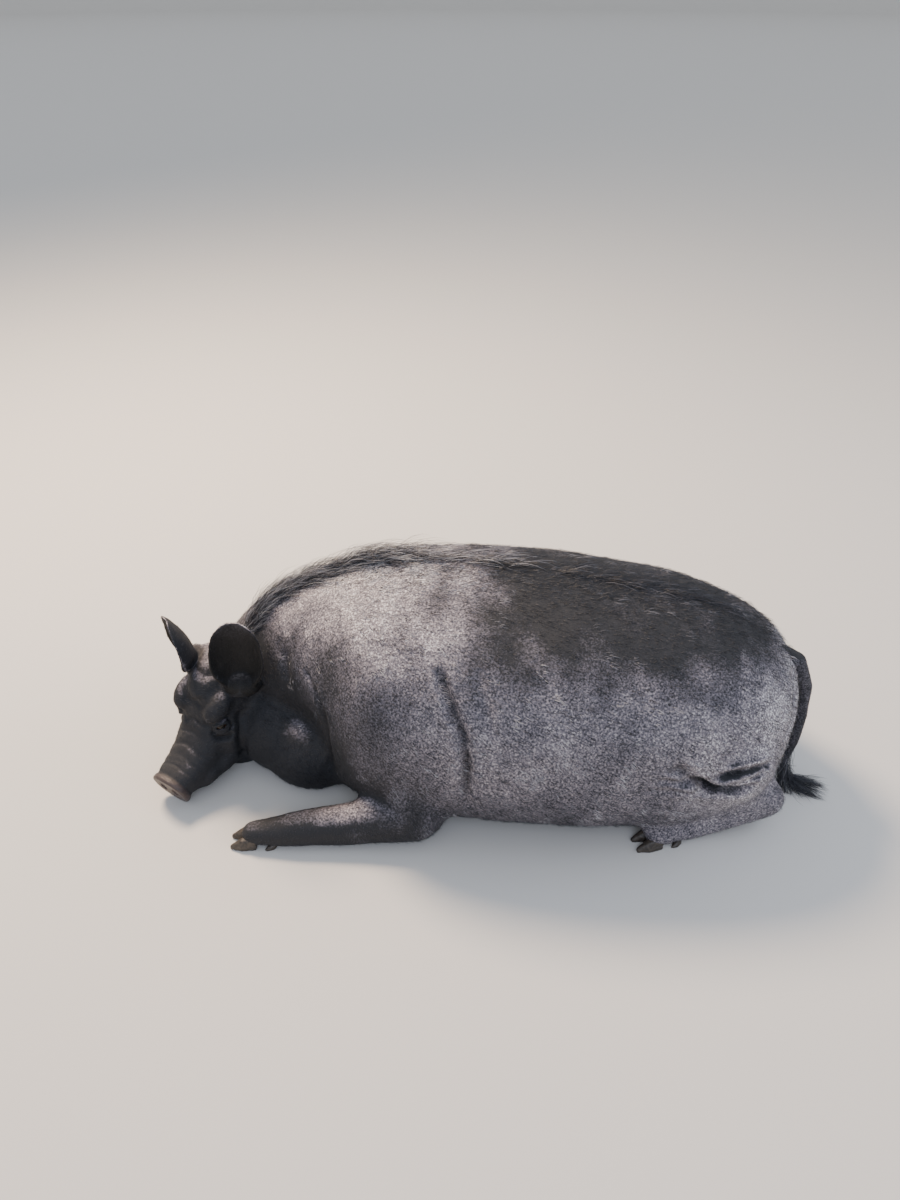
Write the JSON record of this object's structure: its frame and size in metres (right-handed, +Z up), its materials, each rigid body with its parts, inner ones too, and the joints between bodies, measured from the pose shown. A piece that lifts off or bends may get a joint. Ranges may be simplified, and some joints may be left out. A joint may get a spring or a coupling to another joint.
{
  "type": "vietnamese pot-bellied pig",
  "caption": "Life-size still model of a heavy pot-bellied pig lying on its belly, head turned aside, with a bristly mane, cupped ears, wrinkled face and folded hide.",
  "frame": {"origin": "on the floor, under the middle of the overall outline", "axes": "+X from the head end towards the rump, -Y towards the pig's left side, +Z up from the floor"},
  "size_m": [1.1624, 0.5378, 0.4151],
  "materials": {
    "hide": "dry grey-brown hide with short black and pale bristles",
    "dark_hide": "darker hide of ears, legs and tail with short bristles",
    "eye": "wet dark brown eye",
    "claw_horn": "worn dark horn"
  },
  "bodies": {
    "root": {"head": "hide", "neck": "hide", "torso": "hide", "tail": "dark_hide", "ear_left": "dark_hide", "eye_left": "eye", "foreleg_left": "dark_hide", "foreleg_left_claw_outer": "claw_horn", "foreleg_left_claw_inner": "claw_horn", "foreleg_left_dewclaw_outer": "claw_horn", "foreleg_left_dewclaw_inner": "claw_horn", "hindleg_left": "dark_hide", "hindleg_left_claw_outer": "claw_horn", "hindleg_left_claw_inner": "claw_horn", "hindleg_left_dewclaw_outer": "claw_horn", "hindleg_left_dewclaw_inner": "claw_horn", "ear_right": "dark_hide", "eye_right": "eye", "foreleg_right": "dark_hide", "foreleg_right_claw_outer": "claw_horn", "foreleg_right_claw_inner": "claw_horn", "foreleg_right_dewclaw_outer": "claw_horn", "foreleg_right_dewclaw_inner": "claw_horn", "hindleg_right": "dark_hide", "hindleg_right_claw_outer": "claw_horn", "hindleg_right_claw_inner": "claw_horn", "hindleg_right_dewclaw_outer": "claw_horn", "hindleg_right_dewclaw_inner": "claw_horn"}
  },
  "joints": []
}
